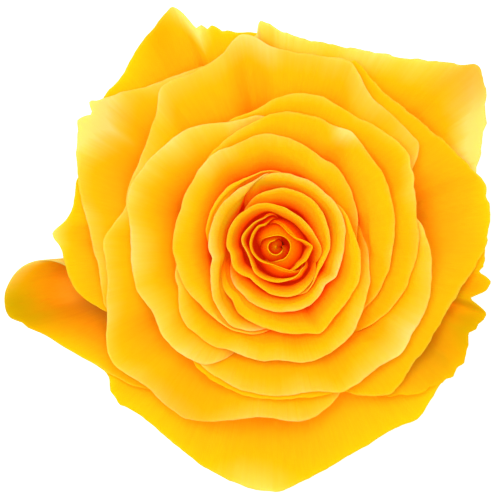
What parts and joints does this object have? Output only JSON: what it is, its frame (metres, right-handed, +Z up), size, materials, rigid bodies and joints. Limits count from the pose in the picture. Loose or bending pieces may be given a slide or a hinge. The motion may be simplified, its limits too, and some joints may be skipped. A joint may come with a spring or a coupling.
{
  "type": "rose flower",
  "caption": "Yellow garden rose in full bloom: a cut flower head of layered petals rolled at their rims, on a green hip with a short stem stub and bent-back sepals that rest on the table.",
  "frame": {"origin": "on the table, under the middle of the bloom's box; the flower's own axis stands 5.8 mm to +X of it", "axes": "+Z up along the flower's axis, +X and +Y the picture's right and up"},
  "size_m": [0.0978, 0.0976, 0.0512],
  "materials": {
    "petal_yellow": "matt, slightly waxy petal skin",
    "petal_heart_orange": "matt, slightly waxy petal skin, deeper in the folds",
    "sepal_green": "matt leaf skin",
    "hip_green": "smooth green hip and stem with a pale cut end"
  },
  "bodies": {
    "root": {"petal_coil_core": "petal_heart_orange", "petal_coil_inner": "petal_heart_orange", "petal_coil_outer": "petal_heart_orange", "petal_heart_inner": "petal_heart_orange", "petal_heart_middle": "petal_heart_orange", "petal_heart_flap": "petal_heart_orange", "petal_heart_outer": "petal_heart_orange", "petal_ring_low_right": "petal_yellow", "petal_ring_right": "petal_yellow", "petal_ring_low": "petal_yellow", "petal_ring_left": "petal_yellow", "petal_ring_top_left": "petal_yellow", "petal_fourth_top_left": "petal_yellow", "petal_fourth_bottom": "petal_yellow", "petal_fourth_top": "petal_yellow", "petal_third_left": "petal_yellow", "petal_third_top_right": "petal_yellow", "petal_third_low_right": "petal_yellow", "petal_third_bottom": "petal_yellow", "petal_second_bottom_left": "petal_yellow", "petal_second_top": "petal_yellow", "petal_second_right": "petal_yellow", "petal_second_top_left": "petal_yellow", "petal_outer_left_corner": "petal_yellow", "petal_outer_top_right": "petal_yellow", "petal_outer_top_left": "petal_yellow", "petal_outer_left_tongue": "petal_yellow", "petal_outer_low_right": "petal_yellow", "petal_outer_bottom": "petal_yellow", "sepal_1": "sepal_green", "sepal_2": "sepal_green", "sepal_3": "sepal_green", "sepal_4": "sepal_green", "sepal_5": "sepal_green", "hip_and_stem": "hip_green"}
  },
  "joints": []
}
